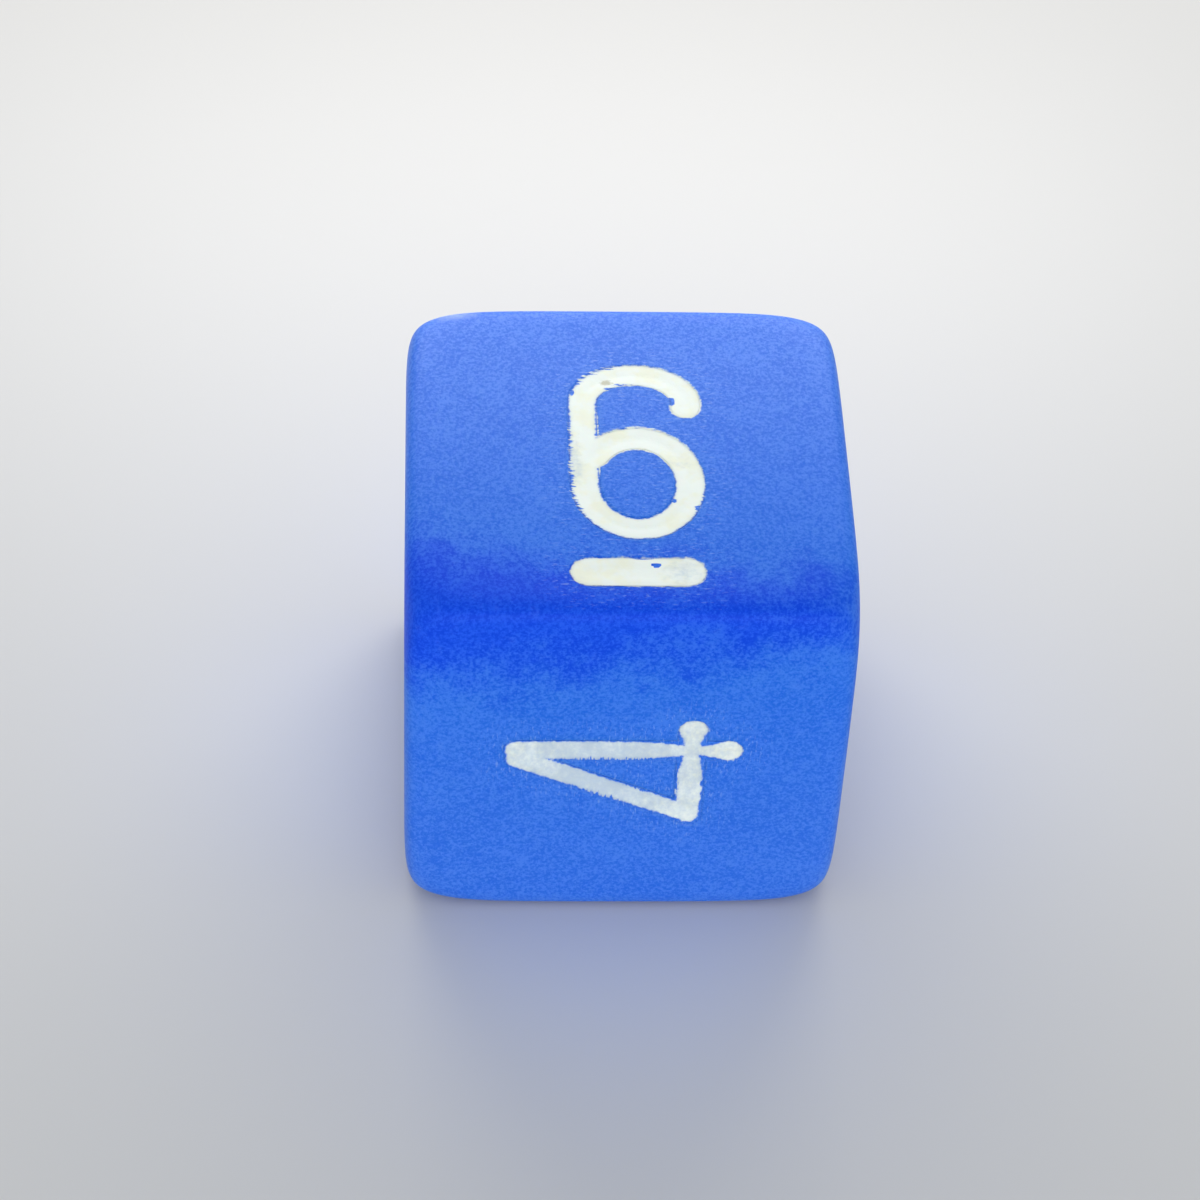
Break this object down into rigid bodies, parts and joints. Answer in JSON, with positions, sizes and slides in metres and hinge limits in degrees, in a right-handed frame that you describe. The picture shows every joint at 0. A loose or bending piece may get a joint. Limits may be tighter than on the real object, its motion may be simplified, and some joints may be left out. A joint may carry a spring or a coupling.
{
  "type": "six-sided die",
  "caption": "Frosted blue resin cube die with softly rounded edges and corners and a white-painted engraved numeral in each face, the six underlined.",
  "frame": {"origin": "centre of the cube", "axes": "+Z out of the face with the 6, -Y out of the face with the 4, +X out of the face with the 5; the top of the 6 points to +Y and the top of the 4 to -X"},
  "size_m": [0.016, 0.016, 0.016],
  "materials": {
    "frosted_blue_resin": "frosted, slightly translucent moulded resin with soft mottling",
    "white_numeral_paint": "chalky white paint, slightly uneven, thin in places"
  },
  "bodies": {
    "root": {"die_body": "frosted_blue_resin", "numeral_1_paint": "white_numeral_paint", "numeral_2_paint": "white_numeral_paint", "numeral_3_paint": "white_numeral_paint", "numeral_4_paint": "white_numeral_paint", "numeral_5_paint": "white_numeral_paint", "numeral_6_paint": "white_numeral_paint", "six_underline_paint": "white_numeral_paint"}
  },
  "joints": []
}
